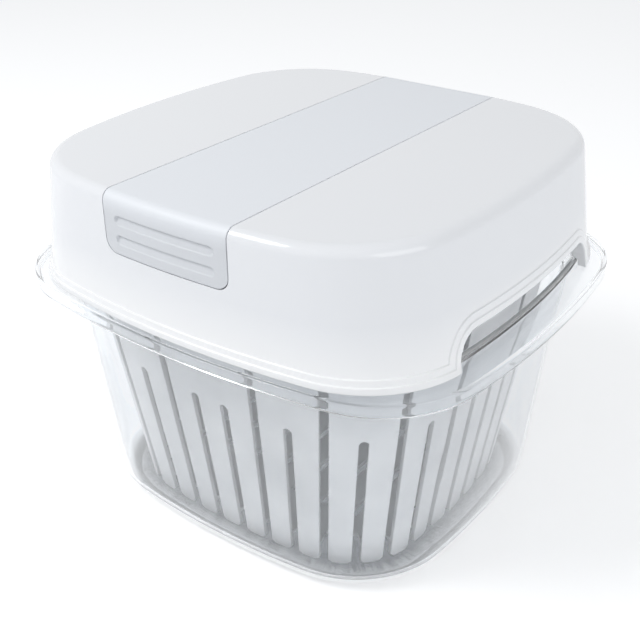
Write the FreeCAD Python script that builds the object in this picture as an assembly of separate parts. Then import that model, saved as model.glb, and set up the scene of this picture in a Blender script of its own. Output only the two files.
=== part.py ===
import FreeCAD, Part
import math
import os

os.makedirs("parts", exist_ok=True)

V = FreeCAD.Vector

# Herb keeper: a clear container, a slotted basket that lifts out, a tall lid with
# an arch cut in each side, and a flap over the top that opens about its rear edge.
# Millimetres, +Z up, origin on the floor under the middle, grip of the flap at -Y.

# Heights above the floor
seat_z = 107.0             # ledge of the container, where the lid sits
lid_height = 51.0          # ledge to the top of the lid

# Plan of the lid
lid_top_half_x = 92.0
lid_top_half_y = 95.0
lid_top_bow = 350.0        # radius of the slightly bowed sides
lid_top_corner = 48.0
lid_low_half_x = 99.4
lid_low_half_y = 94.6
lid_low_bow = 380.0
lid_low_corner = 44.0
lid_wall = 2.4
lid_round = 4.2            # rounding of the top edge

# Stepped bead along the foot of the lid and round the arches
bead_out = 1.3
bead_height = 2.8
step_out = 0.65
step_height = 5.4

# Arch in each side of the lid
arch_half = 52.0
arch_height = 13.5
arch_corner = 10.0
arch_lip_depth = 2.6       # how far the edge of the arch turns inward
arch_lip_width = 2.4

# Flap
flap_width = 57.6
flap_wall = 2.6
flap_gap = 0.4
tab_foot = 28.0            # foot of the grip above the ledge
tab_corner = 5.0
groove_length = 46.4
groove_width = 4.0
groove_depth = 1.2
groove_low = 5.6           # centre of the lower groove above the foot of the grip
groove_pitch = 7.6

# Bay under the flap, with its opening and seal
bay_wall = 2.4
hatch_half_x = 22.0
hatch_half_y = 58.0
hatch_corner = 6.0
seal_width = 2.2
seal_land = 1.4            # floor between the opening and the seal
seal_height = 1.8
seal_groove = 0.6          # how deep the seal sits in the floor

# Hinge of the flap
pin_radius = 1.5
pin_running = 0.06
pin_seat = 0.02
pin_cheek = 3.0
pin_end_gap = 0.5
knuckle_gap = 0.5

# Container
base_half_x = 85.4
base_half_y = 77.8
base_bow = 350.0
base_corner = 46.0
base_round = 9.0
neck_half_x = 92.0
neck_half_y = 88.0
neck_bow = 390.0
neck_corner = 42.0
container_wall = 2.2
container_floor = 3.0
flange_half_x = 107.4
flange_half_y = 98.0
flange_bow = 410.0
flange_corner = 44.0
flange_wall = 2.2
flange_lip = 5.6
flange_round = 0.95
rim_height = 2.4           # rim above the ledge, inside the lid
rim_gap = 0.8              # rim to the inside of the lid

# Basket
basket_foot_half_x = 70.5
basket_foot_half_y = 65.5
basket_foot_corner = 34.0
basket_top_half_x = 87.2
basket_top_half_y = 83.2
basket_top_corner = 41.0
basket_bow = 350.0
basket_wall = 1.8
basket_rise = 16.0         # top of the basket above the ledge
basket_floor_up = 8.0      # underside of the basket floor above its feet
basket_floor = 2.0
basket_rim_out = 0.8
basket_rim_height = 2.4
slot_count = 36            # nine to each quarter, every second one long
slot_width = 3.8
slot_chamfer = 1.6
short_slot_down = 35.0     # top of the short slots below the ledge
long_slot_margin = 6.0     # top of the long slots below the top of the basket
drain_rows = 7
drain_pitch = 15.0
drain_length = 84.0
drain_width = 3.8

# Derived places
top_z = seat_z + lid_height
bay_depth = flap_wall + seal_height - seal_groove
bay_half = flap_width / 2 + flap_gap
basket_foot_z = container_floor
basket_top_z = seat_z + basket_rise


def plan(half_x, half_y, bow, corner):
    return {"x": half_x, "y": half_y, "bow": bow, "corner": corner}


def inset(p, d):
    return plan(p["x"] - d, p["y"] - d, p["bow"] - d, max(p["corner"] - d, 1.0))


def between(low, low_z, high, high_z, z):
    k = (z - low_z) / (high_z - low_z)
    return {key: low[key] + k * (high[key] - low[key]) for key in low}


def corner_of(p):
    # centre of the corner arc, and the angles where it meets the two bowed sides
    ax = p["x"] - p["bow"]
    ay = p["y"] - p["bow"]
    r = p["bow"] - p["corner"]
    d = math.hypot(ax, ay)
    h = math.sqrt(r * r - d * d / 4)
    cx = ax / 2 + h * abs(ay) / d
    cy = ay / 2 + h * abs(ax) / d
    return cx, cy, math.atan2(cy, cx - ax), math.atan2(cy - ay, cx)


def arc_list(p):
    cx, cy, start, end = corner_of(p)
    bow = p["bow"]
    corner = p["corner"]
    ax = p["x"] - bow
    ay = p["y"] - bow
    side_x = (ax, 0.0, bow, -start, start)
    side_y = (0.0, ay, bow, end, math.pi - end)
    return [
        side_x,
        (cx, cy, corner, start, end),
        side_y,
        (-cx, cy, corner, math.pi - end, math.pi - start),
        (-ax, 0.0, bow, math.pi - start, math.pi + start),
        (-cx, -cy, corner, math.pi + start, math.pi + end),
        (0.0, -ay, bow, math.pi + end, 2 * math.pi - end),
        (cx, -cy, corner, 2 * math.pi - end, 2 * math.pi - start),
    ]


def ring(p, z):
    edges = []
    for cx, cy, r, a, b in arc_list(p):
        points = []
        for t in (a, (a + b) / 2, b):
            points.append(V(cx + r * math.cos(t), cy + r * math.sin(t), z))
        edges.append(Part.Arc(points[0], points[1], points[2]).toShape())
    return Part.Wire(edges)


def prism(p, z, height):
    return Part.Face(ring(p, z)).extrude(V(0, 0, height))


def taper(low, low_z, high, high_z):
    return Part.makeLoft([ring(low, low_z), ring(high, high_z)], True, True)


def flat_edges(shape, z):
    found = []
    for edge in shape.Edges:
        box = edge.BoundBox
        if abs(box.ZMin - z) < 1e-4 and abs(box.ZMax - z) < 1e-4:
            found.append(edge)
    return found


def rounded_slab(half_u, low, high, radius, lower, upper):
    # outline in a vertical plane as (u, z), with its lower or upper corners rounded
    points = []
    steps = [(-1, low, lower), (1, low, lower), (1, high, upper), (-1, high, upper)]
    edges = []
    k = math.sqrt(0.5)
    for side, z, rounded in steps:
        inward = 1 if z == low else -1
        r = radius if rounded else 0.0
        cu = side * (half_u - r)
        cz = z + inward * r
        by_side = (side * half_u, cz)
        by_level = (cu, z)
        middle = (cu + side * r * k, cz - inward * r * k)
        first, last = (by_side, by_level) if side * inward < 0 else (by_level, by_side)
        points.append((first, middle, last, rounded))
    for i, (first, middle, last, rounded) in enumerate(points):
        if rounded:
            edges.append((first, middle, last))
        edges.append((last, points[(i + 1) % 4][0]))
    return edges


def facing_front(edges, y_from, y_to):
    made = []
    for e in edges:
        q = [V(u, y_from, z) for u, z in e]
        made.append(Part.makeLine(q[0], q[1]) if len(q) == 2 else Part.Arc(*q).toShape())
    return Part.Face(Part.Wire(made)).extrude(V(0, y_to - y_from, 0))


def facing_side(edges, x_from, x_to):
    made = []
    for e in edges:
        q = [V(x_from, u, z) for u, z in e]
        made.append(Part.makeLine(q[0], q[1]) if len(q) == 2 else Part.Arc(*q).toShape())
    return Part.Face(Part.Wire(made)).extrude(V(x_to - x_from, 0, 0))


def lying(half_x, half_y, radius, z, height):
    # rounded rectangle lying flat
    slab = Part.makeBox(2 * half_x, 2 * half_y, height, V(-half_x, -half_y, z))
    upright = []
    for edge in slab.Edges:
        box = edge.BoundBox
        if box.ZMax - box.ZMin > height / 2 and box.XMax - box.XMin < 1e-4:
            upright.append(edge)
    return slab.makeFillet(radius, upright)


def slab_between(x_half, y_from, y_to, z_from, z_to):
    return Part.makeBox(2 * x_half, y_to - y_from, z_to - z_from, V(-x_half, y_from, z_from))


def save(shape, name):
    shape = shape.removeSplitter()
    solids = shape.Solids
    if len(solids) == 1:
        shape = solids[0]
    print(name, len(solids), "solid", round(shape.Volume, 1), "mm3", shape.isValid())
    shape.exportStep("parts/" + name + ".step")


# Lid

lid_top = plan(lid_top_half_x, lid_top_half_y, lid_top_bow, lid_top_corner)
lid_low = plan(lid_low_half_x, lid_low_half_y, lid_low_bow, lid_low_corner)


def lid_form(d):
    # outside of the lid moved inward by d on its walls and its top
    high_z = top_z - d
    high = between(lid_low, seat_z, lid_top, top_z, high_z)
    body = taper(inset(lid_low, d), seat_z, inset(high, d), high_z)
    radius = lid_round - d
    if radius > 0.3:
        body = body.makeFillet(radius, flat_edges(body, high_z))
    return body


lid_outer = lid_form(0.0)
lid_hollow = lid_form(lid_wall)

foot_bead = prism(lid_low, seat_z, bead_height)
reach = 2 * flange_half_x
arch_opening = rounded_slab(arch_half, seat_z - 5.0, seat_z + arch_height, arch_corner, False, True)


def arch_block(grow):
    edges = rounded_slab(arch_half + grow, seat_z, seat_z + arch_height + grow,
                         arch_corner + grow, False, True)
    return facing_side(edges, -reach, reach)


bead_zone = slab_between(reach, -reach, reach, seat_z, seat_z + bead_height)
bead_zone = bead_zone.fuse(arch_block(bead_height))
step_zone = slab_between(reach, -reach, reach, seat_z, seat_z + step_height)
step_zone = step_zone.fuse(arch_block(step_height))

lid_shell = lid_outer.fuse(lid_form(-bead_out).common(bead_zone))
lid_shell = lid_shell.fuse(lid_form(-step_out).common(step_zone))

# the flap's bay: a floor and walls under the flap, and a pocket for its knuckle
cheek_half = bay_half + pin_cheek
edge_plan = between(lid_low, seat_z, lid_top, top_z, top_z - lid_round)
edge_drop = edge_plan["bow"] - math.sqrt(edge_plan["bow"] ** 2 - (flap_width / 2) ** 2)
knuckle_radius = lid_round
hinge_y = edge_plan["y"] - edge_drop - knuckle_radius
hinge_z = top_z - knuckle_radius
pocket_front = hinge_y - knuckle_radius - knuckle_gap
pocket_low = hinge_z - knuckle_radius - knuckle_gap

tab_z = seat_z + tab_foot
bay_profile = rounded_slab(bay_half, tab_z - flap_gap, top_z + 5.0,
                           tab_corner + flap_gap, True, False)
liner_profile = rounded_slab(bay_half + bay_wall, tab_z - flap_gap - bay_wall, top_z,
                             tab_corner + flap_gap + bay_wall, True, False)
liner = lid_outer.common(facing_front(liner_profile, -reach, hinge_y))
liner = liner.cut(lid_form(bay_depth + bay_wall))
pocket = lid_outer.common(slab_between(cheek_half, pocket_front - bay_wall, reach,
                                       pocket_low - bay_wall, top_z))
bay_cut = facing_front(bay_profile, -reach, hinge_y).cut(lid_form(bay_depth))
pocket_cut = slab_between(bay_half, pocket_front, reach, pocket_low, top_z + 5.0)

lid_shell = lid_shell.cut(lid_hollow)

# the edge of each arch turns inward, above the container's rim
arch_lip = lid_form(lid_wall).cut(lid_form(lid_wall + arch_lip_depth))
arch_lip = arch_lip.common(arch_block(arch_lip_width))
arch_lip = arch_lip.common(slab_between(reach, -reach, reach,
                                        seat_z + rim_height + rim_gap, top_z))

lid_shell = lid_shell.fuse([liner, pocket, arch_lip])
lid_shell = lid_shell.cut([bay_cut, pocket_cut])
lid_shell = lid_shell.cut(facing_side(arch_opening, -reach, reach))

bay_floor_z = top_z - bay_depth
hatch = lying(hatch_half_x, hatch_half_y, hatch_corner,
              bay_floor_z - bay_wall - 1.0, bay_wall + 2.0)
seal_inner = seal_land
seal_outer = seal_land + seal_width
seal_z = bay_floor_z - seal_groove


def seal_ring(z, height):
    outside = lying(hatch_half_x + seal_outer, hatch_half_y + seal_outer,
                    hatch_corner + seal_outer, z, height)
    inside = lying(hatch_half_x + seal_inner, hatch_half_y + seal_inner,
                   hatch_corner + seal_inner, z - 1.0, height + 2.0)
    return outside.cut(inside)


pin_half = cheek_half - pin_end_gap
pin_hole = Part.makeCylinder(pin_radius + pin_seat, 2 * pin_half + 2 * pin_seat,
                             V(-pin_half - pin_seat, hinge_y, hinge_z), V(1, 0, 0))
lid_shell = lid_shell.cut([hatch, seal_ring(seal_z, seal_groove + 1.0), pin_hole])

flap_seal = seal_ring(seal_z, seal_height)
flap_pin = Part.makeCylinder(pin_radius, 2 * pin_half, V(-pin_half, hinge_y, hinge_z), V(1, 0, 0))

# Flap

flap_profile = rounded_slab(flap_width / 2, tab_z, top_z + 5.0, tab_corner, True, False)
knuckle_start = hinge_y - 2 * knuckle_radius
top_flap = lid_outer.common(facing_front(flap_profile, -reach, knuckle_start))
top_flap = top_flap.cut(lid_form(flap_wall))


def knuckle_section():
    # the end of the plate and the round of the knuckle, in the plane at the flap's side
    x = -flap_width / 2
    under = knuckle_radius - flap_wall
    near = math.sqrt(knuckle_radius ** 2 - under ** 2)
    meet = V(x, hinge_y - near, hinge_z + under)
    back = V(x, hinge_y + knuckle_radius, hinge_z)
    crown = V(x, hinge_y, top_z)
    low = V(x, hinge_y, hinge_z - knuckle_radius)
    k = math.sqrt(0.5) * knuckle_radius
    bend = (math.pi / 2 + math.asin(under / knuckle_radius)) / 2
    side = V(x, hinge_y - knuckle_radius * math.sin(bend),
             hinge_z - knuckle_radius * math.cos(bend))
    edges = [
        Part.makeLine(V(x, knuckle_start, top_z), crown),
        Part.Arc(crown, V(x, hinge_y + k, hinge_z + k), back).toShape(),
        Part.Arc(back, V(x, hinge_y + k, hinge_z - k), low).toShape(),
        Part.Arc(low, side, meet).toShape(),
        Part.makeLine(meet, V(x, knuckle_start, top_z - flap_wall)),
        Part.makeLine(V(x, knuckle_start, top_z - flap_wall), V(x, knuckle_start, top_z)),
    ]
    return Part.Face(Part.Wire(edges))


top_flap = top_flap.fuse(knuckle_section().extrude(V(flap_width, 0, 0)))
pin_bore = Part.makeCylinder(pin_radius + pin_running, flap_width + 2.0,
                             V(-flap_width / 2 - 1.0, hinge_y, hinge_z), V(1, 0, 0))
top_flap = top_flap.cut(pin_bore)
groove_core = lid_form(groove_depth)
for row in range(2):
    middle = tab_z + groove_low + row * groove_pitch
    edges = rounded_slab(groove_length / 2, middle - groove_width / 2, middle + groove_width / 2,
                         groove_width / 2 - 0.05, True, True)
    top_flap = top_flap.cut(facing_front(edges, -reach, 0.0).cut(groove_core))

# Container

base = plan(base_half_x, base_half_y, base_bow, base_corner)
neck = plan(neck_half_x, neck_half_y, neck_bow, neck_corner)
flange = plan(flange_half_x, flange_half_y, flange_bow, flange_corner)
rim = inset(lid_low, lid_wall + rim_gap)
neck_z = seat_z - flange_lip
rim_z = seat_z + rim_height


def container_form(d):
    low_z = container_floor if d > 0 else 0.0
    low = inset(between(base, 0.0, neck, neck_z, low_z), d)
    body = taper(low, low_z, inset(neck, d), neck_z)
    body = body.makeFillet(base_round - d, flat_edges(body, low_z))
    return body.fuse(taper(inset(neck, d), neck_z, inset(rim, d), rim_z))


flange_body = prism(flange, seat_z - flange_lip, flange_lip)
flange_body = flange_body.makeFillet(flange_round, flat_edges(flange_body, seat_z))
flange_under = prism(inset(flange, flange_wall), seat_z - flange_lip, flange_lip - flange_wall)
container = flange_body.cut(flange_under).fuse(container_form(0.0))
container = container.cut(container_form(container_wall))

# Basket

foot = plan(basket_foot_half_x, basket_foot_half_y, basket_bow, basket_foot_corner)
brim = plan(basket_top_half_x, basket_top_half_y, basket_bow, basket_top_corner)
plate_z = basket_foot_z + basket_floor_up
basket = taper(foot, basket_foot_z, brim, basket_top_z)
basket = basket.fuse(prism(inset(brim, -basket_rim_out), basket_top_z - basket_rim_height,
                           basket_rim_height))
hollow = taper(inset(foot, basket_wall), basket_foot_z, inset(brim, basket_wall), basket_top_z)
kept = slab_between(reach, -reach, reach, plate_z, plate_z + basket_floor)
basket = basket.cut(hollow.cut(kept))


def along(p, share):
    # point and outward direction at a share of the way round, from the front centre
    arcs = arc_list(p)
    order = [arcs[6], arcs[7], arcs[0], arcs[1], arcs[2], arcs[3], arcs[4], arcs[5]]
    total = sum(r * (b - a) for cx, cy, r, a, b in order)
    front = order[0]
    goal = share * total + front[2] * (front[4] - front[3]) / 2
    goal = goal % total
    for cx, cy, r, a, b in order:
        length = r * (b - a)
        if goal <= length:
            t = a + goal / r
            return V(cx + r * math.cos(t), cy + r * math.sin(t), 0), V(math.cos(t), math.sin(t), 0)
        goal -= length
    return V(0, -p["y"], 0), V(0, -1, 0)


def slot_cutter(index):
    share = (index + 0.5) / slot_count
    low, low_out = along(foot, share)
    high, high_out = along(brim, share)
    low.z = basket_foot_z
    high.z = basket_top_z
    out = (low_out + high_out).normalize()
    across = V(-out.y, out.x, 0)
    long_slot = index % (slot_count // 4) % 2 == 1
    end_z = basket_top_z - long_slot_margin if long_slot else seat_z - short_slot_down
    rise = (high - low) * ((end_z - basket_foot_z) / (basket_top_z - basket_foot_z))
    half = slot_width / 2
    up = V(rise).normalize()
    start = low - up * 2.0
    flare = low + up * slot_chamfer
    shoulder = low + rise - up * half
    wide = half + slot_chamfer
    side = [start - across * wide, low - across * wide, flare - across * half,
            shoulder - across * half]
    other = [shoulder + across * half, flare + across * half, low + across * wide,
             start + across * wide]
    edges = [Part.makeLine(side[i], side[i + 1]) for i in range(3)]
    edges.append(Part.Arc(side[3], shoulder + up * half, other[0]).toShape())
    edges += [Part.makeLine(other[i], other[i + 1]) for i in range(3)]
    edges.append(Part.makeLine(other[3], side[0]))
    face = Part.Face(Part.Wire(edges))
    face.translate(out * -9.0)
    return face.extrude(out * 18.0)


cutters = [slot_cutter(i) for i in range(slot_count)]
basket = basket.cut(cutters)
drains = []
for row in range(drain_rows):
    x = (row - (drain_rows - 1) / 2) * drain_pitch
    drain = lying(drain_width / 2, drain_length / 2, drain_width / 2 - 0.05,
                  plate_z - 1.0, basket_floor + 2.0)
    drain.translate(V(x, 0, 0))
    drains.append(drain)
basket = basket.cut(drains)

save(container, "container")
save(basket, "basket")
save(lid_shell, "lid_shell")
save(flap_seal, "flap_seal")
save(flap_pin, "flap_pin")
save(top_flap, "top_flap")
print("hinge axis y", round(hinge_y, 3), "z", round(hinge_z, 3))
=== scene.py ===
import math

import bmesh
import bpy
import numpy as np
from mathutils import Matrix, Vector


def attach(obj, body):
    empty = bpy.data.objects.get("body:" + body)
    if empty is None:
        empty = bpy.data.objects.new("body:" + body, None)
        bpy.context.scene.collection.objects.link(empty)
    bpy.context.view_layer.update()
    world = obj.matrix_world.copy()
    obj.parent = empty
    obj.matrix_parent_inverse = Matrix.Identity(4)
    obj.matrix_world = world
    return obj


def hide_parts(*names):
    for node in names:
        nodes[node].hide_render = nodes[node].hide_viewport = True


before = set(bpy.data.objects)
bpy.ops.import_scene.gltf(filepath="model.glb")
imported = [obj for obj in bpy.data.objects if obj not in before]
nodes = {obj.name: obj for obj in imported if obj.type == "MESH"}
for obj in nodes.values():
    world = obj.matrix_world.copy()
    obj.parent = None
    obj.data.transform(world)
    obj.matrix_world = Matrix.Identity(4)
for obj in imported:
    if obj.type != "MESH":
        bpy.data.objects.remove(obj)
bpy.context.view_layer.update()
print("frame loaded:", len(nodes), "nodes")

mm = 0.001


def newMaterial(name):
    mat = bpy.data.materials.new(name)
    mat.use_nodes = True
    return mat, mat.node_tree, mat.node_tree.nodes["Principled BSDF"]


def alongAxes(tree, kind="Object"):
    # X, Y and Z of a texture coordinate: the place on the object, the way its surface faces
    # ("Normal"), or for the sky the way it is looked at ("Generated")
    coords = tree.nodes.new("ShaderNodeTexCoord")
    split = tree.nodes.new("ShaderNodeSeparateXYZ")
    tree.links.new(coords.outputs[kind], split.inputs[0])
    return split.outputs


def combined(tree, operation, *sources):
    # each source is another node's output or a plain number
    node = tree.nodes.new("ShaderNodeMath")
    node.operation = operation
    for socket, source in zip(node.inputs, sources):
        if isinstance(source, bpy.types.NodeSocket):
            tree.links.new(source, socket)
        else:
            socket.default_value = source
    return node.outputs[0]


def objectNoise(tree, scale, detail=2.0):
    coords = tree.nodes.new("ShaderNodeTexCoord")
    noise = tree.nodes.new("ShaderNodeTexNoise")
    noise.inputs["Scale"].default_value = scale
    noise.inputs["Detail"].default_value = detail
    tree.links.new(coords.outputs["Object"], noise.inputs["Vector"])
    return noise.outputs["Fac"]


def colourBetween(tree, factor, low, high, start=0.35, end=0.65):
    ramp = tree.nodes.new("ShaderNodeValToRGB")
    first, last = ramp.color_ramp.elements
    first.position, last.position = start, end
    first.color, last.color = (*low, 1), (*high, 1)
    tree.links.new(factor, ramp.inputs["Fac"])
    return ramp.outputs["Color"]


def valueBetween(tree, factor, low, high, start=0.0, end=1.0, ease="LINEAR"):
    # goes from low to high while the factor goes from start to end
    span = tree.nodes.new("ShaderNodeMapRange")
    span.interpolation_type = ease
    span.inputs["From Min"].default_value = start
    span.inputs["From Max"].default_value = end
    span.inputs["To Min"].default_value = low
    span.inputs["To Max"].default_value = high
    tree.links.new(factor, span.inputs["Value"])
    return span.outputs["Result"]


def bumpFrom(tree, height, strength, distance, normal=None):
    bump = tree.nodes.new("ShaderNodeBump")
    bump.inputs["Strength"].default_value = strength
    bump.inputs["Distance"].default_value = distance
    tree.links.new(height, bump.inputs["Height"])
    if normal is not None:
        tree.links.new(normal, bump.inputs["Normal"])
    return bump.outputs["Normal"]


def roundedEdges(tree, radius):
    bevel = tree.nodes.new("ShaderNodeBevel")
    bevel.samples = 6
    bevel.inputs["Radius"].default_value = radius
    return bevel.outputs["Normal"]


def giveMaterial(obj, mat):
    obj.data.materials.clear()
    obj.data.materials.append(mat)


lidFinish = {
    "colour": (0.862, 0.876, 0.904),
    # painted light: the lighter colour near the foot
    "foot": (0.965, 0.97, 0.98),
    "footLightBand": (0.112, 0.131),      # heights in m over which the painted light at the foot fades out
    "colourSpan": (0.05, 1.1),
    "cloudScale": 9.0,
    "cloud": 0.2,
    "roughScale": 260.0,
    "rough": (0.1, 0.16),
    "rippleScale": 38.0,
    "ripple": (0.25, 0.00006),       # strength and depth
    "edge": 0.0003,
    "bend": 1.5,
}


def glossyWhite():
    # painted light: the base colour is lighter towards the foot, standing in for the light that the
    # thin foot lets through from inside and that the flange and floor throw up on it
    finish = lidFinish
    mat, tree, shader = newMaterial("glossyWhite")
    # painted light: 1 at the foot, fading out above it
    foot = valueBetween(tree, alongAxes(tree)["Z"], 1.0, 0.0, *finish["footLightBand"])
    flow = objectNoise(tree, finish["cloudScale"])
    # the factor carries the painted light at the foot and the random cloud
    cloud = combined(tree, "MULTIPLY_ADD", flow, finish["cloud"], foot)
    tree.links.new(colourBetween(tree, cloud, finish["colour"], finish["foot"],
                                 *finish["colourSpan"]), shader.inputs["Base Color"])
    fine = objectNoise(tree, finish["roughScale"], 3.0)
    tree.links.new(valueBetween(tree, fine, *finish["rough"]), shader.inputs["Roughness"])
    ripple = objectNoise(tree, finish["rippleScale"], 1.0)
    normal = bumpFrom(tree, ripple, *finish["ripple"], roundedEdges(tree, finish["edge"]))
    tree.links.new(normal, shader.inputs["Normal"])
    shader.inputs["IOR"].default_value = finish["bend"]
    return mat


flapFinish = {
    # painted shade: the darker colour of the grip in front
    "grip": (0.69, 0.71, 0.742),
    "top": (0.845, 0.87, 0.91),
    "gripToTop": (0.150, 0.158),     # heights in m over which the painted shade on the grip turns into the top's colour
    "colourSpan": (0.1, 1.1),
    "cloudScale": 14.0,
    "cloud": 0.2,
    "grainScale": 1400.0,
    "rough": (0.42, 0.55),
    "grain": (0.5, 0.00004),         # strength and depth
    "edge": 0.0004,
    "bend": 1.48,
}


def satinGrey():
    # painted shade: the grip in front is darker than the strip on top, so that under the lamps in
    # front it renders no lighter than the top
    finish = flapFinish
    mat, tree, shader = newMaterial("satinGrey")
    # painted shade: 0 on the grip in front, 1 on the top
    height = valueBetween(tree, alongAxes(tree)["Z"], 0.0, 1.0, *finish["gripToTop"])
    flow = objectNoise(tree, finish["cloudScale"], 3.0)
    # the factor carries the painted shade on the grip and the random cloud
    cloud = combined(tree, "MULTIPLY_ADD", flow, finish["cloud"], height)
    tree.links.new(colourBetween(tree, cloud, finish["grip"], finish["top"],
                                 *finish["colourSpan"]), shader.inputs["Base Color"])
    grain = objectNoise(tree, finish["grainScale"])
    tree.links.new(valueBetween(tree, grain, *finish["rough"]), shader.inputs["Roughness"])
    normal = bumpFrom(tree, grain, *finish["grain"], roundedEdges(tree, finish["edge"]))
    tree.links.new(normal, shader.inputs["Normal"])
    shader.inputs["IOR"].default_value = finish["bend"]
    return mat


clearFinish = {
    "colour": (0.93, 0.945, 0.96),
    # painted shade: the dark colour of the floor inside, where the basket and lid shade it
    "floor": (0.07, 0.077, 0.086),
    "floorShadeBand": (0.0031, 0.0052),   # heights in m over which the painted shade on the floor fades out
    "floorShadeUpward": (0.1, 0.6),       # the painted shade lies only on what faces up
    "floorHalf": (0.0854, 0.0778),
    "floorShadeFade": (0.5, 0.95),
    "floorShadeEdge": 0.35,
    "rimBand": (0.1082, 0.1102),
    "rimClear": 0.15,
    "bend": 1.2,
    "coat": 1.0,
    "coatRough": 0.03,
    "coatBend": 1.5,
    "roughScale": 30.0,
    "rough": (0.01, 0.04),
    "flowScale": 22.0,
    "flow": (0.3, 0.00012),          # strength and depth
}


def clearPlastic():
    # thin clear walls that hardly bend what is behind them, with a gloss coat that mirrors the
    # room; the floor inside has painted shade, a dark colour standing for the shade under the basket
    # and lid, and the top edge of the rim lets less through
    finish = clearFinish
    mat, tree, shader = newMaterial("clearPlastic")
    place = alongAxes(tree)
    low = valueBetween(tree, place["Z"], 1.0, 0.0, *finish["floorShadeBand"], ease="SMOOTHSTEP")
    upward = valueBetween(tree, alongAxes(tree, "Normal")["Z"], 0.0, 1.0, *finish["floorShadeUpward"])
    # (x/a)^4 + (y/b)^4 is 1 on the rounded outline of the foot, and the painted shade on the floor
    # fades before it
    fourths = []
    for axis, half in zip("XY", finish["floorHalf"]):
        share = combined(tree, "DIVIDE", place[axis], half)
        square = combined(tree, "MULTIPLY", share, share)
        fourths.append(combined(tree, "MULTIPLY", square, square))
    outline = combined(tree, "ADD", *fourths)
    middle = valueBetween(tree, outline, 1.0, finish["floorShadeEdge"], *finish["floorShadeFade"])
    # painted shade: dark on the upward floor inside, fading out towards the foot's outline
    paintedShade = combined(tree, "MULTIPLY", combined(tree, "MULTIPLY", low, upward), middle)
    tree.links.new(colourBetween(tree, paintedShade, finish["colour"], finish["floor"], 0.0, 1.0),
                   shader.inputs["Base Color"])
    tree.links.new(valueBetween(tree, place["Z"], 1.0, finish["rimClear"], *finish["rimBand"]),
                   shader.inputs["Transmission Weight"])
    shader.inputs["IOR"].default_value = finish["bend"]
    shader.inputs["Coat Weight"].default_value = finish["coat"]
    shader.inputs["Coat Roughness"].default_value = finish["coatRough"]
    shader.inputs["Coat IOR"].default_value = finish["coatBend"]
    fine = objectNoise(tree, finish["roughScale"])
    tree.links.new(valueBetween(tree, fine, *finish["rough"]), shader.inputs["Roughness"])
    ripple = bumpFrom(tree, objectNoise(tree, finish["flowScale"]), *finish["flow"])
    tree.links.new(ripple, shader.inputs["Normal"])
    tree.links.new(ripple, shader.inputs["Coat Normal"])
    return mat


basketFinish = {
    "colour": (0.92, 0.93, 0.942),
    "shade": (0.8, 0.814, 0.832),
    "cloudScale": 30.0,
    "through": 0.15,
    "bend": 1.46,
    "grainScale": 900.0,
    "rough": (0.34, 0.46),
    "grain": (0.4, 0.00005),         # strength and depth
    "edge": 0.0006,
}


def frostedPlastic():
    finish = basketFinish
    mat, tree, shader = newMaterial("frostedPlastic")
    flow = objectNoise(tree, finish["cloudScale"], 3.0)
    tree.links.new(colourBetween(tree, flow, finish["shade"], finish["colour"]),
                   shader.inputs["Base Color"])
    shader.inputs["Transmission Weight"].default_value = finish["through"]
    shader.inputs["IOR"].default_value = finish["bend"]
    grain = objectNoise(tree, finish["grainScale"])
    tree.links.new(valueBetween(tree, grain, *finish["rough"]), shader.inputs["Roughness"])
    normal = bumpFrom(tree, grain, *finish["grain"], roundedEdges(tree, finish["edge"]))
    tree.links.new(normal, shader.inputs["Normal"])
    return mat


sealFinish = {
    "shade": (0.6, 0.62, 0.64),
    "colour": (0.68, 0.7, 0.72),
    "grainScale": 120.0,
    "grain": (0.4, 0.00008),
    "rough": 0.6,
}


def softRubber():
    finish = sealFinish
    mat, tree, shader = newMaterial("softRubber")
    grain = objectNoise(tree, finish["grainScale"], 3.0)
    tree.links.new(colourBetween(tree, grain, finish["shade"], finish["colour"]),
                   shader.inputs["Base Color"])
    shader.inputs["Roughness"].default_value = finish["rough"]
    tree.links.new(bumpFrom(tree, grain, *finish["grain"]), shader.inputs["Normal"])
    return mat


pinFinish = {
    "shade": (0.55, 0.55, 0.56),
    "colour": (0.68, 0.68, 0.69),
    "lines": (60.0, 2500.0, 2500.0),   # long along the pin, fine across it
    "rough": (0.2, 0.4),
}


def drawnSteel():
    finish = pinFinish
    mat, tree, shader = newMaterial("drawnSteel")
    coords = tree.nodes.new("ShaderNodeTexCoord")
    mapping = tree.nodes.new("ShaderNodeMapping")
    mapping.inputs["Scale"].default_value = finish["lines"]
    noise = tree.nodes.new("ShaderNodeTexNoise")
    noise.inputs["Scale"].default_value = 1.0
    tree.links.new(coords.outputs["Object"], mapping.inputs["Vector"])
    tree.links.new(mapping.outputs["Vector"], noise.inputs["Vector"])
    lines = noise.outputs["Fac"]
    tree.links.new(valueBetween(tree, lines, *finish["rough"]), shader.inputs["Roughness"])
    tree.links.new(colourBetween(tree, lines, finish["shade"], finish["colour"]),
                   shader.inputs["Base Color"])
    shader.inputs["Metallic"].default_value = 1.0
    return mat


def inset(plan, d):
    # moves a plan inward by d: both half sizes, the bow and the corner shrink by it
    return [value - d for value in plan]


def blendPlans(low, high, share):
    return [a + share * (b - a) for a, b in zip(low, high)]


def cornerOf(plan):
    # the corner arc touches both bowed sides from inside: its centre and the two end angles
    x, y, bow, corner = plan
    ax, ay = x - bow, y - bow
    r = bow - corner
    d = np.hypot(ax, ay)
    h = np.sqrt(r * r - d * d / 4)
    cx = ax / 2 + h * np.abs(ay) / d
    cy = ay / 2 + h * np.abs(ax) / d
    return cx, cy, np.arctan2(cy, cx - ax), np.arctan2(cy - ay, cx)


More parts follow.
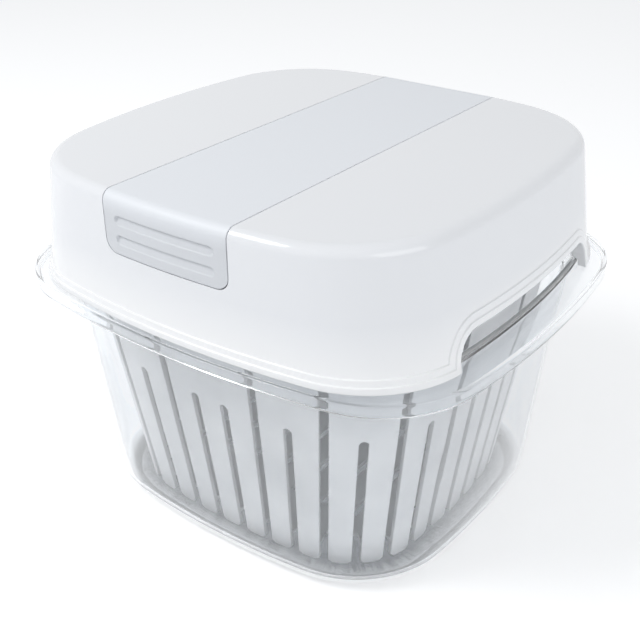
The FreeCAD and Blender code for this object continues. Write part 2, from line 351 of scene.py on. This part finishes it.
def quarterPoint(plan, k):
    # k 0 to 1 follows the half side at +X, 1 to 2 the corner arc, 2 to 3 the half side at +Y
    x, y, bow, corner = plan
    cx, cy, start, end = cornerOf(plan)
    angle = np.where(k < 1, k * start, np.where(k < 2, start + (k - 1) * (end - start),
                                                end + (k - 2) * (np.pi / 2 - end)))
    onCorner = (k >= 1) & (k < 2)
    ox = np.where(k < 1, x - bow, np.where(onCorner, cx, 0.0))
    oy = np.where(k < 1, 0.0, np.where(onCorner, cy, y - bow))
    radius = np.where(onCorner, corner, bow)
    return ox + radius * np.cos(angle), oy + radius * np.sin(angle)


def reachAcross(plan, across):
    # distance from the middle to the +X side at a given y: bow first, then the corner arc
    x, y, bow, corner = plan
    cx, cy, start, end = cornerOf(plan)
    side = x - bow + np.sqrt(np.maximum(bow ** 2 - across ** 2, 0))
    turn = cx + np.sqrt(np.maximum(corner ** 2 - (across - cy) ** 2, 0))
    return np.where(across <= bow * np.sin(start), side, turn)


def turned(plan):
    x, y, bow, corner = plan
    return [y, x, bow, corner]


def shareAt(plan, across):
    # the k of quarterPoint at which the +X side has reached a given y
    x, y, bow, corner = plan
    cx, cy, start, end = cornerOf(plan)
    onSide = np.arcsin(np.clip(across / bow, -1, 1)) / start
    angle = np.arcsin(np.clip((across - cy) / corner, -1, 1))
    return np.where(onSide <= 1, onSide, 1 + (angle - start) / (end - start))


def mirrored(x, y, z):
    # the quarter at +X +Y, repeated into the other three as one closed run of columns
    xs = [x, -x[:, ::-1][:, 1:], -x[:, 1:], x[:, ::-1][:, 1:-1]]
    ys = [y, y[:, ::-1][:, 1:], -y[:, 1:], -y[:, ::-1][:, 1:-1]]
    zs = [z, z[:, ::-1][:, 1:], z[:, 1:], z[:, ::-1][:, 1:-1]]
    return np.concatenate(xs, 1), np.concatenate(ys, 1), np.concatenate(zs, 1)


def rounded(points, radii, steps=5):
    # a run of points whose corners become arcs: each arc is the rational curve on the two
    # tangent points and the corner, weighted by the sine of half the angle between the legs
    points = np.asarray(points, float)
    run = []
    for i, (point, radius) in enumerate(zip(points, radii)):
        if radius <= 0 or i in (0, len(points) - 1):
            run.append(point[None])
            continue
        legs = [points[i - 1] - point, points[i + 1] - point]
        long = [np.hypot(leg[0], leg[-1]) for leg in legs]
        cosine = (legs[0][0] * legs[1][0] + legs[0][-1] * legs[1][-1]) / (long[0] * long[1])
        half = math.acos(max(-1.0, min(1.0, cosine))) / 2
        tangent = min(radius / math.tan(half), 0.49 * long[0], 0.49 * long[1])
        first = point + legs[0] / long[0] * tangent
        last = point + legs[1] / long[1] * tangent
        t = np.linspace(0, 1, steps)[:, None]
        w = math.sin(half)
        run.append(((1 - t) ** 2 * first + 2 * t * (1 - t) * w * point + t ** 2 * last)
                   / ((1 - t) ** 2 + 2 * t * (1 - t) * w + t ** 2))
    return np.concatenate(run)


def filled(points, step):
    # the same run with more points on its long straight parts
    run = [points[:1]]
    for a, b in zip(points[:-1], points[1:]):
        count = max(1, int(math.hypot(b[0] - a[0], b[-1] - a[-1]) / step))
        t = np.linspace(0, 1, count + 1)[1:, None]
        run.append(a + (b - a) * t)
    return np.concatenate(run)


def meshFrom(name, points, faces, sharp=32):
    # points in mm; those that lie together are joined, and edges over the angle stay sharp
    mesh = bpy.data.meshes.new(name)
    mesh.from_pydata((np.asarray(points) * mm).tolist(), [], faces)
    mesh.validate()
    form = bmesh.new()
    form.from_mesh(mesh)
    bmesh.ops.remove_doubles(form, verts=form.verts, dist=0.002 * mm)
    form.to_mesh(mesh)
    form.free()
    mesh.polygons.foreach_set("use_smooth", np.ones(len(mesh.polygons), bool))
    obj = bpy.data.objects.new(name, mesh)
    bpy.context.collection.objects.link(obj)
    if sharp:
        mesh.set_sharp_from_angle(angle=math.radians(sharp))
    return obj


def gridFaces(rows, columns, closed, first=0):
    # one four-sided face between neighbouring rows and columns
    width = columns if closed else columns - 1
    r = np.arange(rows - 1)[:, None] * columns
    c = np.arange(width)[None, :]
    n = (c + 1) % columns
    quads = np.stack([r + c, r + n, r + n + columns, r + c + columns], -1).reshape(-1, 4) + first
    return quads.tolist()


def ringSurface(name, x, y, z, sharp=32):
    # closed rings from the first pole to the last, with a point at each pole
    rows, columns = x.shape
    poles = [[0, 0, z[0, 0]], [0, 0, z[-1, 0]]]
    points = np.concatenate([np.stack([x, y, z], -1).reshape(-1, 3), poles])
    c = np.arange(columns)
    n = (c + 1) % columns
    last, pole = (rows - 1) * columns, rows * columns
    low = np.stack([n, c, np.full(columns, pole)], -1)
    high = np.stack([last + c, last + n, np.full(columns, pole + 1)], -1)
    faces = gridFaces(rows, columns, True) + low.tolist() + high.tolist()
    return meshFrom(name, points, faces, sharp)


def slabSurface(name, top, bottom, sharp=0):
    # two grids of the same size, one over the other, joined round their borders
    rows, columns = top.shape[:2]
    points = np.concatenate([top.reshape(-1, 3), bottom.reshape(-1, 3)])
    count = rows * columns
    faces = gridFaces(rows, columns, False)
    faces += [face[::-1] for face in gridFaces(rows, columns, False, count)]
    index = np.arange(count).reshape(rows, columns)
    border = np.concatenate([index[0, :-1], index[:-1, -1], index[-1, :0:-1], index[:0:-1, 0]])
    following = np.roll(border, -1)
    faces += np.stack([following, border, border + count, following + count], -1).tolist()
    return meshFrom(name, points, faces, sharp)


def apply(obj):
    # what the modifiers make of the mesh becomes the mesh itself
    graph = bpy.context.evaluated_depsgraph_get()
    done = bpy.data.meshes.new_from_object(obj.evaluated_get(graph))
    obj.modifiers.clear()
    old = obj.data
    obj.data = done
    done.name = old.name
    bpy.data.meshes.remove(old)


def carve(obj, tool, how="DIFFERENCE"):
    # cuts a closed tool out of the object, or joins it on, and drops the tool
    mod = obj.modifiers.new("carve", "BOOLEAN")
    mod.object = tool
    mod.operation = how
    mod.solver = "MANIFOLD"
    apply(obj)
    bpy.data.objects.remove(tool)


# plans are half size in x and y, radius of the bowed sides and radius of the corners, in mm
container = {
    "seat": 107.0,
    "base": [85.4, 77.8, 350.0, 46.0],
    "neck": [92.0, 88.0, 390.0, 42.0],
    "rim": [96.2, 91.4, 376.8, 40.8],
    "flange": [107.4, 98.0, 410.0, 44.0],
    "wall": 2.2,
    "floor": 3.0,
    "lip": 5.6,
    "rimUp": 2.4,
    "baseRound": 9.0,
    "neckRound": 6.0,
    "foldRound": 0.8,        # where the flange leaves the wall, above and below
    "lipRound": 0.6,
    "flangeRound": 0.95,
    "edge": 0.75,
    "flatFrom": 30.0,        # the flat of the foot and of the floor starts this far in
    "centreRings": (0.03, 0.9, 6),
    "arcSteps": 7,
    "spacing": 7.0,
    "columns": (12, 30, 12),
}


def quarterColumns(side, corner, front):
    return np.concatenate([np.linspace(0, 1, side, endpoint=False),
                           np.linspace(1, 2, corner, endpoint=False),
                           np.linspace(2, 3, front)])[None, :]


def ringsFrom(rows, columns):
    # each row is x, y, bow, corner and z of one ring
    plan = [rows[:, i:i + 1] for i in range(4)]
    x, y = quarterPoint(plan, columns)
    return mirrored(x, y, np.broadcast_to(rows[:, 4:5], x.shape))


def makeContainer():
    # one profile from the middle of the foot, up the outside, round the flange and down the
    # inside to the middle of the floor, carried round the plan of each height
    c = container
    seat, wall, floor, edge = c["seat"], c["wall"], c["floor"], c["edge"]
    base, neck, rim, flange = c["base"], c["neck"], c["rim"], c["flange"]
    neckZ, rimZ, under = seat - c["lip"], seat + c["rimUp"], seat - wall

    def collar(z, d=0.0):
        return inset(blendPlans(neck, rim, (z - neckZ) / (rimZ - neckZ)), d) + [z]

    def side(z, d=0.0):
        return inset(blendPlans(base, neck, z / neckZ), d) + [z]

    run = [
        (inset(base, c["flatFrom"]) + [0.0], 0),
        (side(0.0), c["baseRound"]),
        (side(neckZ), c["neckRound"]),
        (collar(under), c["foldRound"]),
        (inset(flange, wall) + [under], c["lipRound"]),
        (inset(flange, wall) + [neckZ], edge),
        (flange + [neckZ], edge),
        (flange + [seat], c["flangeRound"]),
        (collar(seat), c["foldRound"]),
        (collar(rimZ), edge),
        (collar(rimZ, wall), edge),
        (collar(neckZ, wall), c["neckRound"]),
        (side(floor, wall), c["baseRound"] - wall),
        (inset(side(floor, wall)[:4], c["flatFrom"]) + [floor], 0),
    ]
    rings, radii = zip(*run)
    rows = filled(rounded(rings, radii, c["arcSteps"]), c["spacing"])
    x, y, z = ringsFrom(rows, quarterColumns(*c["columns"]))
    small = np.linspace(*c["centreRings"])[:, None]
    x, y = [np.concatenate([v[:1] * small, v, v[-1:] * small[::-1]]) for v in (x, y)]
    z = np.concatenate([z[:1] + 0 * small, z, z[-1:] + 0 * small])
    obj = ringSurface("containerShell", x, y, z)
    giveMaterial(obj, clearPlastic())
    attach(obj, "container")
    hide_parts("container")


makeContainer()
print("container made")

lid = {
    "seat": 107.0,
    "top": 158.0,
    "low": [99.4, 94.6, 380.0, 44.0],
    "high": [92.0, 95.0, 350.0, 48.0],
    "wall": 2.4,
    "topRound": 4.2,
    "bead": (1.3, 2.8),      # how far each stands out, and how far up it goes
    "step": (0.65, 5.4),
    "stepToWall": 0.6,
    "archHalf": 52.0,
    "archUp": 13.5,
    "archCorner": 10.0,
    "archLip": 2.6,
    "archLipWide": 2.4,
    "archLipFrom": 3.2,      # the lip inside the arch begins this far above the seat
    "edgeRounds": [0, 0.3, 0.3, 0.5, 0.8, 0.7, 0.3, 0.5, 0.35, 0],
    "wallRows": 12,
    "roundRows": 11,
    "roofRings": (0.96, 0.03, 14),
    "roofBorder": 0.985,
    "columns": (14, 18, 60),
}


def lidPlan(z, offset=0.0):
    # outside of the lid at height z, moved outward by offset
    c = lid
    share = (z - c["seat"]) / (c["top"] - c["seat"])
    return inset(blendPlans(c["low"], c["high"], share), -offset)


def archEdge(u, d):
    # the outline of the arch moved outward by d, in y and z: up the upright from the foot,
    # then round the corner; u 0 is the foot and 1 the start of the level top
    c = lid
    centreY = c["archHalf"] - c["archCorner"]
    centreZ = c["seat"] + c["archUp"] - c["archCorner"]
    radius = c["archCorner"] + d
    footZ = c["seat"] + d
    upright = np.maximum(centreZ - footZ, 0)
    start = np.arcsin(np.clip((footZ - centreZ) / radius, 0, 1))
    total = upright + radius * (np.pi / 2 - start)
    s = u * total
    angle = start + np.maximum(s - upright, 0) / radius
    straight = s < upright
    y = np.where(straight, c["archHalf"] + d, centreY + radius * np.cos(angle))
    z = np.where(straight, footZ + s, centreZ + radius * np.sin(angle))
    return y, z


def footColumns(plan, y):
    # from the y where the arch ends, on to the middle of the back in even shares
    join = shareAt(plan, y)
    way = np.linspace(0, 1, lid["columns"][2] + 1)[None, 1:]
    return quarterPoint(plan, join + (3 - join) * way)


def lidQuarter(offset, d, z=None):
    # a row of the lid in the quarter +X +Y. Along the arch each column keeps its y, and the
    # foot's columns share the way from the arch to the middle of the back.
    c = lid
    nTop, nTurn = c["columns"][:2]
    centreY = c["archHalf"] - c["archCorner"]
    yTop = np.linspace(0, centreY, nTop, endpoint=False)[None, :] + 0 * d
    zTop = c["seat"] + c["archUp"] + d + 0 * yTop
    yTurn, zTurn = archEdge(np.linspace(1, 0, nTurn)[None, :], d)
    y = np.concatenate([yTop, yTurn], 1)
    zArch = np.concatenate([zTop, zTurn], 1)
    zFoot = c["seat"] + d
    if z is not None:
        zArch = zArch + z * (c["top"] - c["topRound"] - zArch)
        zFoot = zFoot + z * (c["top"] - c["topRound"] - zFoot)
    x = reachAcross(lidPlan(zArch, offset[:, :y.shape[1]]), y)
    xFoot, yFoot = footColumns(lidPlan(zFoot, offset[:, -1:]), y[:, -1:])
    return (np.concatenate([x, xFoot], 1), np.concatenate([y, yFoot], 1),
            np.concatenate([zArch, zFoot + 0 * xFoot], 1))


def lidAtLevel(y, offset, z):
    # the rows of the rounding, above every arch, with the columns that lidQuarter ends in
    plan = lidPlan(z, offset)
    xFoot, yFoot = footColumns(plan, y[:, -1:])
    x = np.concatenate([reachAcross(plan, y), xFoot], 1)
    return x, np.concatenate([y + 0 * z, yFoot], 1), z + 0 * x


def lidSkin():
    # from the middle of the ceiling down the inside, round the lower edge with its bead and step
    # and, in the arch, a lip inside, then up the outside and over the rounding to the top's middle
    c = lid
    wall, turn, lipWide = c["wall"], c["topRound"], c["archLipWide"]
    bead, beadUp = c["bead"]
    step, stepUp = c["step"]
    wallUp = stepUp + c["stepToWall"]
    # the lower edge: how far out from the wall's outside, how far up from the foot or the arch,
    # and 1 where the arch's lip stands further in
    edge = [(-wall, wallUp, 0), (-wall, lipWide, 0), (-wall, lipWide, 1), (-wall, 0, 1),
            (bead, 0, 0), (bead, beadUp, 0), (step, beadUp, 0), (step, stepUp, 0),
            (0, stepUp, 0), (0, wallUp, 0)]
    run = rounded([(o - lip * c["archLip"], lip, d) for o, d, lip in edge], c["edgeRounds"])
    lipIn = run[:, 1:2] * c["archLip"]
    offset, d = run[:, :1] + lipIn, run[:, 2:]
    nTop, nTurn = c["columns"][:2]
    y, z = archEdge(np.linspace(1, 0, nTurn), 0.0)
    inArch = np.concatenate([np.ones(nTop), (z > c["seat"] + c["archLipFrom"]).astype(float)])
    rim = lidQuarter(np.concatenate([offset - lipIn * inArch[None, :], offset], 1), d)
    share = np.linspace(0, 1, c["wallRows"])[1:, None]
    flat = np.zeros((1, nTop + nTurn + 1)) + 0 * share
    start = 0 * share + d[-1:]
    outer = lidQuarter(flat, start, share)
    inner = lidQuarter(flat - wall, start, share)
    columnY = outer[1][-1:, :nTop + nTurn]
    bend = np.linspace(0, np.pi / 2, c["roundRows"])[1:, None]
    less = turn - wall
    roundZ = c["top"] - turn
    high = lidAtLevel(columnY, -turn * (1 - np.cos(bend)), roundZ + turn * np.sin(bend))
    low = lidAtLevel(columnY, -wall - less * (1 - np.cos(bend)), roundZ + less * np.sin(bend))
    small = np.concatenate([[c["roofBorder"]], np.linspace(*c["roofRings"])])[:, None]
    parts = []
    for axis in range(3):
        roof, cap = low[axis][-1:], high[axis][-1:]
        scale = small if axis < 2 else 1 + 0 * small
        parts.append(np.concatenate([
            (roof * scale)[::-1], low[axis][::-1], inner[axis][::-1], rim[axis], outer[axis],
            high[axis], cap * scale]))
    x, y, z = mirrored(*parts)
    return ringSurface("lidShell", x, y, z, 0)


# the flap's strip goes up the front wall, round the edge and back along the top
strip = {
    "half": 28.8,
    "gap": 0.4,
    "wall": 2.6,
    "foot": 135.0,
    "footCorner": 5.0,
    "bayDeep": 3.8,
    "bayWall": 2.4,
    "hingeY": 89.588,
    "hingeZ": 153.8,
    "knuckle": 4.2,
    "knuckleGap": 0.5,
    "cheek": 3.0,
    "pin": 1.5,
    "pinSlack": 0.02,        # the hole in the cheeks is this much wider than the pin
    "pinStop": 0.48,         # and ends this far inside them
    "boreSlack": 0.06,
    "backGap": 0.5,
    "knuckleEdge": 0.35,
    "leastRound": 0.05,
    "rows": (110, 14, 30),
    "across": (44, 10),
}


def stripRows(half, foot, corner, backY, offset, counts=(24, 12, 40), across=(10, 9)):
    # columns run across at fixed x and rows run up the front, round the edge and along the top;
    # the first row follows the rounded lower corners
    flat, turn = half - corner, lid["topRound"]
    xs = np.concatenate([np.linspace(0, flat, across[0], endpoint=False),
                         flat + corner * np.sin(np.linspace(0, np.pi / 2, across[1]))])
    xs = np.concatenate([-xs[::-1], xs[1:]])[None, :]
    over = np.maximum(np.abs(xs) - flat, 0)
    start = foot + corner - np.sqrt(np.maximum(corner ** 2 - over ** 2, 0))
    top = lid["top"]
    radius = max(turn + offset, strip["leastRound"])
    turnZ = top + offset - radius
    z1 = start + (turnZ - start) * np.linspace(0, 1, counts[0])[:, None]
    bend = np.linspace(0, np.pi / 2, counts[1] + 1)[1:, None]
    z2 = turnZ + radius * np.sin(bend) + 0 * xs
    y1 = -reachAcross(turned(lidPlan(z1, offset)), np.abs(xs))
    y2 = (-reachAcross(turned(lidPlan(z2, 0.0)), np.abs(xs))
          - offset + radius * (1 - np.cos(bend)))
    y3 = y2[-1:] + (backY - y2[-1:]) * np.linspace(0, 1, counts[2] + 1)[1:, None]
    y = np.concatenate([y1, y2, y3])
    z = np.concatenate([z1, z2, np.full_like(y3, top + offset)])
    return np.stack([xs + 0 * y, y, z], -1)


def slabAlong(name, wider, backY, outer, inner):
    # a slab that follows the strip and is wider than it by the same amount all round
    s = strip
    plan = (s["half"] + wider, s["foot"] - wider, s["footCorner"] + wider, backY)
    return slabSurface(name, stripRows(*plan, outer), stripRows(*plan, inner))


def blockSurface(name, low, high):
    # a plain tool for carving, from one corner to the other
    x, y = np.meshgrid([low[0], high[0]], [low[1], high[1]])
    top = np.stack([x, y, np.full_like(x, high[2])], -1)
    bottom = np.stack([x, y, np.full_like(x, low[2])], -1)
    return slabSurface(name, top, bottom)


def ovalTool(name, halfX, halfY, corner, low, high, count=16):
    # a rounded rectangle, one turn against the clock, from one height to the other
    angle = np.linspace(0, np.pi / 2, count)
    x = halfX - corner + corner * np.cos(angle)
    y = halfY - corner + corner * np.sin(angle)
    xs = np.concatenate([x, -x[::-1], -x, x[::-1]])
    ys = np.concatenate([y, y[::-1], -y, -y[::-1]])
    z = np.stack([np.full_like(xs, low), np.full_like(xs, high)])
    return ringSurface(name, np.stack([xs, xs]), np.stack([ys, ys]), z, 0)


def barAlongX(name, radius, half, y, z, count=64, bore=0.0, edge=0.3):
    # a bar, or a tube where it has a bore: its profile turned round the axis. The profile
    # runs from the axis, or the bore, at one end over the rounded ends to the other end.
    low = bore if bore else 0.02      # the first ring round the axis
    run = rounded([(low, -half), (radius, -half), (radius, half), (low, half)],
                  [0, edge, edge, 0])
    rows = len(run)
    angle = np.linspace(0, 2 * np.pi, count, endpoint=False)[None, :]
    x = run[:, 1:2] + 0 * angle
    ys, zs = y + run[:, :1] * np.cos(angle), z + run[:, :1] * np.sin(angle)
    points = np.stack([x, ys, zs], -1).reshape(-1, 3)
    faces = gridFaces(rows, count, True)
    c = np.arange(count)
    n = (c + 1) % count
    last, pole = (rows - 1) * count, rows * count
    if bore:
        faces += np.stack([last + c, last + n, n, c], -1).tolist()
    else:
        points = np.concatenate([points, [[-half, y, z], [half, y, z]]])
        faces += np.stack([n, c, np.full(count, pole)], -1).tolist()
        faces += np.stack([last + c, last + n, np.full(count, pole + 1)], -1).tolist()
    return meshFrom(name, points, faces, 40)


hatch = {
    "halfX": 22.0,
    "halfY": 58.0,
    "corner": 6.0,
    "land": 1.4,
    "sealWide": 2.2,
    "sealDeep": 0.6,
}

# the tools that carve the lid reach past its skin by these, and what is joined on stays inside
carving = {
    "linerIn": 1.0,
    "rearIn": 1.1,
    "bayOver": 4.0,
    "roomTo": (130.0, 170.0),
    "hatchDown": 4.0,
    "over": 1.0,
    "keptOver": 2.0,
    "pocketGrid": (25, 9),
}


def hatchTool(name, wider, low, high):
    h = hatch
    return ovalTool(name, h["halfX"] + wider, h["halfY"] + wider, h["corner"] + wider, low, high)


def pocketWall(cheek, front, low):
    # the block round the knuckle's room: flat in front, and at the rear it follows the lid's
    # wall and rounding from just inside
    k, turn = carving, lid["topRound"]
    nAcross, nUp = k["pocketGrid"]
    xs = np.linspace(-cheek, cheek, nAcross)[None, :]
    zs = np.linspace(low, lid["top"] - k["over"], nUp)[:, None]
    rear = reachAcross(turned(lidPlan(zs, 0.0)), np.abs(xs)) - k["rearIn"]
    over = np.clip((zs - lid["top"] + turn) / turn, 0, 1)
    rear = rear - turn * (1 - np.sqrt(1 - over ** 2))
    both = [np.stack([xs + 0 * rear, side, zs + 0 * rear], -1)
            for side in (np.full_like(rear, front), rear)]
    return slabSurface("pocket", *both)


def makeLid():
    s, h, k = strip, hatch, carving
    obj = lidSkin()
    room = s["knuckle"] + s["knuckleGap"]
    pocketFront, pocketLow = s["hingeY"] - room, s["hingeZ"] - room
    bayHalf = s["half"] + s["gap"]
    cheek = bayHalf + s["cheek"]
    carve(obj, slabAlong("liner", s["gap"] + s["bayWall"], s["hingeY"] - k["linerIn"],
                         -k["linerIn"], -s["bayDeep"] - s["bayWall"]), "UNION")
    carve(obj, pocketWall(cheek, pocketFront - s["bayWall"], pocketLow - s["bayWall"]), "UNION")
    carve(obj, slabAlong("bay", s["gap"], s["hingeY"], k["bayOver"], -s["bayDeep"]))
    carve(obj, blockSurface("room", (-bayHalf, pocketFront, pocketLow), (bayHalf, *k["roomTo"])))
    floorZ = lid["top"] - s["bayDeep"]
    carve(obj, hatchTool("hatch", 0.0, floorZ - k["hatchDown"], floorZ + k["over"]))
    groove = hatchTool("groove", h["land"] + h["sealWide"], floorZ - h["sealDeep"],
                       floorZ + k["over"])
    carve(groove, hatchTool("kept", h["land"], floorZ - k["keptOver"], floorZ + k["keptOver"]))
    carve(obj, groove)
    carve(obj, barAlongX("pinHole", s["pin"] + s["pinSlack"], cheek - s["pinStop"], s["hingeY"],
                         s["hingeZ"], 48, edge=0))
    obj.data.polygons.foreach_set("use_smooth", np.ones(len(obj.data.polygons), bool))
    obj.data.set_sharp_from_angle(angle=math.radians(32))
    weighted = obj.modifiers.new("even", "WEIGHTED_NORMAL")
    weighted.keep_sharp = True
    giveMaterial(obj, glossyWhite())
    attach(obj, "lid")
    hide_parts("lid_shell")
    return obj


lidShell = makeLid()
print("lid made:", len(lidShell.data.polygons), "faces")

grooves = {
    "count": 2,
    "length": 46.4,
    "width": 4.0,
    "deep": 1.2,
    "low": 5.6,
    "pitch": 7.6,
    "edgeSoft": 0.22,
    "middleDeep": 0.62,      # share of the depth half way up
    "tilt": 0.38,            # share added at the upper edge and lost at the lower one
    "stripEdge": (0.00035, 3, 50.0),   # bevel width, segments and the angle it starts at
}


def grooveDepth(x, z):
    # each groove is a level scoop: deepest below its upper edge, running out towards its foot
    g = grooves
    half = g["width"] / 2
    depth = 0 * x
    for row in range(g["count"]):
        middle = strip["foot"] + g["low"] + row * g["pitch"]
        across = np.maximum(np.abs(x) - (g["length"] - g["width"]) / 2, 0) / half
        up = (z - middle) / half
        inside = np.clip((1 - np.hypot(across, up)) / g["edgeSoft"], 0, 1)
        inside = inside * inside * (3 - 2 * inside)
        depth = np.maximum(depth, inside * (g["middleDeep"] + g["tilt"] * np.clip(up, -1, 1)))
    return depth * g["deep"] * (z < lid["top"] - lid["topRound"])


def makeFlap():
    s = strip
    plan = (s["half"], s["foot"], s["footCorner"], s["hingeY"] - s["backGap"])
    outer, inner = [stripRows(*plan, offset, s["rows"], s["across"])
                    for offset in (0.0, -s["wall"])]
    outer[..., 1] += grooveDepth(outer[..., 0], outer[..., 2])
    obj = slabSurface("flapStrip", outer, inner, 40)
    width, segments, angle = grooves["stripEdge"]
    bevel = obj.modifiers.new("edges", "BEVEL")
    bevel.width = width
    bevel.segments = segments
    bevel.limit_method = "ANGLE"
    bevel.angle_limit = math.radians(angle)
    bevel.harden_normals = False
    apply(obj)
    hinge = barAlongX("flapKnuckle", s["knuckle"], s["half"], s["hingeY"], s["hingeZ"], 72,
                      s["pin"] + s["boreSlack"], s["knuckleEdge"])
    grey = satinGrey()
    for piece in (obj, hinge):
        giveMaterial(piece, grey)
        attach(piece, "flap")
    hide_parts("top_flap")
    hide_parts("top_flap")


makeFlap()
print("flap made")

giveMaterial(nodes["basket"], frostedPlastic())
giveMaterial(nodes["flap_seal"], softRubber())
giveMaterial(nodes["flap_pin"], drawnSteel())
print("materials on the carried nodes")

stageSetup = {
    "floorHalf": 4.0,
    "floorColour": (0.9, 0.905, 0.915),
    "floorRough": 0.9,
    "floorLift": 0.4,
    "horizon": 0.7,
    "zenith": 0.37,
    "sky": (0.96, 0.98, 1.0),
    "lightsAim": (0, 0, 0.08),
    "lightsAway": 1.1,
    "lights": {
        "left": {"azimuth": -38.0, "elevation": 46.0, "size": (0.5, 0.4), "power": 5.0},
        "right": {"azimuth": 80.0, "elevation": 24.0, "size": (0.8, 0.5), "power": 2.7},
    },
}


def seenDirectly(tree):
    # 1 for what the camera sees itself, in a reflection or through the clear plastic
    path = tree.nodes.new("ShaderNodeLightPath").outputs
    first = combined(tree, "MAXIMUM", path["Is Camera Ray"], path["Is Glossy Ray"])
    return combined(tree, "MAXIMUM", first, path["Is Transmission Ray"])


def makeFloor():
    half = stageSetup["floorHalf"]
    mesh = bpy.data.meshes.new("floor")
    mesh.from_pydata([(-half, -half, 0), (half, -half, 0), (half, half, 0), (-half, half, 0)],
                     [], [(0, 1, 2, 3)])
    floor = bpy.data.objects.new("floor", mesh)
    bpy.context.collection.objects.link(floor)
    mat, tree, shader = newMaterial("paperWhite")
    shader.inputs["Base Color"].default_value = (*stageSetup["floorColour"], 1)
    shader.inputs["Roughness"].default_value = stageSetup["floorRough"]
    shader.inputs["Specular IOR Level"].default_value = 0.0
    shader.inputs["Emission Color"].default_value = (1, 1, 1, 1)
    lift = combined(tree, "MULTIPLY", seenDirectly(tree), stageSetup["floorLift"])
    tree.links.new(lift, shader.inputs["Emission Strength"])
    giveMaterial(floor, mat)


def fromMiddle(azimuth, elevation):
    az, el = math.radians(azimuth), math.radians(elevation)
    return Vector((math.sin(az) * math.cos(el), -math.cos(az) * math.cos(el), math.sin(el)))


def areaLight(name, spec):
    data = bpy.data.lights.new(name, "AREA")
    data.shape = "RECTANGLE"
    data.size, data.size_y = spec["size"]
    data.energy = spec["power"]
    lamp = bpy.data.objects.new(name, data)
    bpy.context.collection.objects.link(lamp)
    out = fromMiddle(spec["azimuth"], spec["elevation"])
    lamp.location = Vector(stageSetup["lightsAim"]) + out * stageSetup["lightsAway"]
    lamp.rotation_euler = (-out).to_track_quat("-Z", "Y").to_euler()


def makeSky():
    # the room's light is grey and darker overhead, but the camera sees plain white
    world = bpy.data.worlds.new("studio")
    bpy.context.scene.world = world
    world.use_nodes = True
    tree = world.node_tree
    light = tree.nodes["Background"]
    light.inputs["Color"].default_value = (*stageSetup["sky"], 1)
    strength = valueBetween(tree, alongAxes(tree, "Generated")["Z"],
                            stageSetup["horizon"], stageSetup["zenith"])
    tree.links.new(strength, light.inputs["Strength"])
    white = tree.nodes.new("ShaderNodeBackground")
    white.inputs["Color"].default_value = (1, 1, 1, 1)
    white.inputs["Strength"].default_value = 1.0
    mix = tree.nodes.new("ShaderNodeMixShader")
    tree.links.new(seenDirectly(tree), mix.inputs[0])
    tree.links.new(light.outputs[0], mix.inputs[1])
    tree.links.new(white.outputs[0], mix.inputs[2])
    tree.links.new(mix.outputs[0], tree.nodes["World Output"].inputs["Surface"])


makeFloor()
for lightName, spec in stageSetup["lights"].items():
    areaLight(lightName, spec)
makeSky()

cameraSetup = {
    "azimuth": 36.28236635,
    "elevation": 28.83285268,
    "distance": 0.450779453,
    "target": (-0.0018192, 0.0, 0.072813),
    "focal": 1010.533145,    # in pixels of a picture this wide
    "pixels": 640.0,
    "sensor": 36.0,
    "clip": (0.01, 20.0),
}


def makeCamera():
    setup = cameraSetup
    data = bpy.data.cameras.new("camera")
    camera = bpy.data.objects.new("camera", data)
    bpy.context.collection.objects.link(camera)
    back = fromMiddle(setup["azimuth"], setup["elevation"])
    camera.location = Vector(setup["target"]) + back * setup["distance"]
    camera.rotation_euler = (-back).to_track_quat("-Z", "Y").to_euler()
    data.sensor_width = setup["sensor"]
    data.lens = setup["sensor"] * setup["focal"] / setup["pixels"]
    data.clip_start, data.clip_end = setup["clip"]
    bpy.context.scene.camera = camera


makeCamera()
bpy.context.scene.view_settings.view_transform = "Standard"
print("stage, light and camera set")
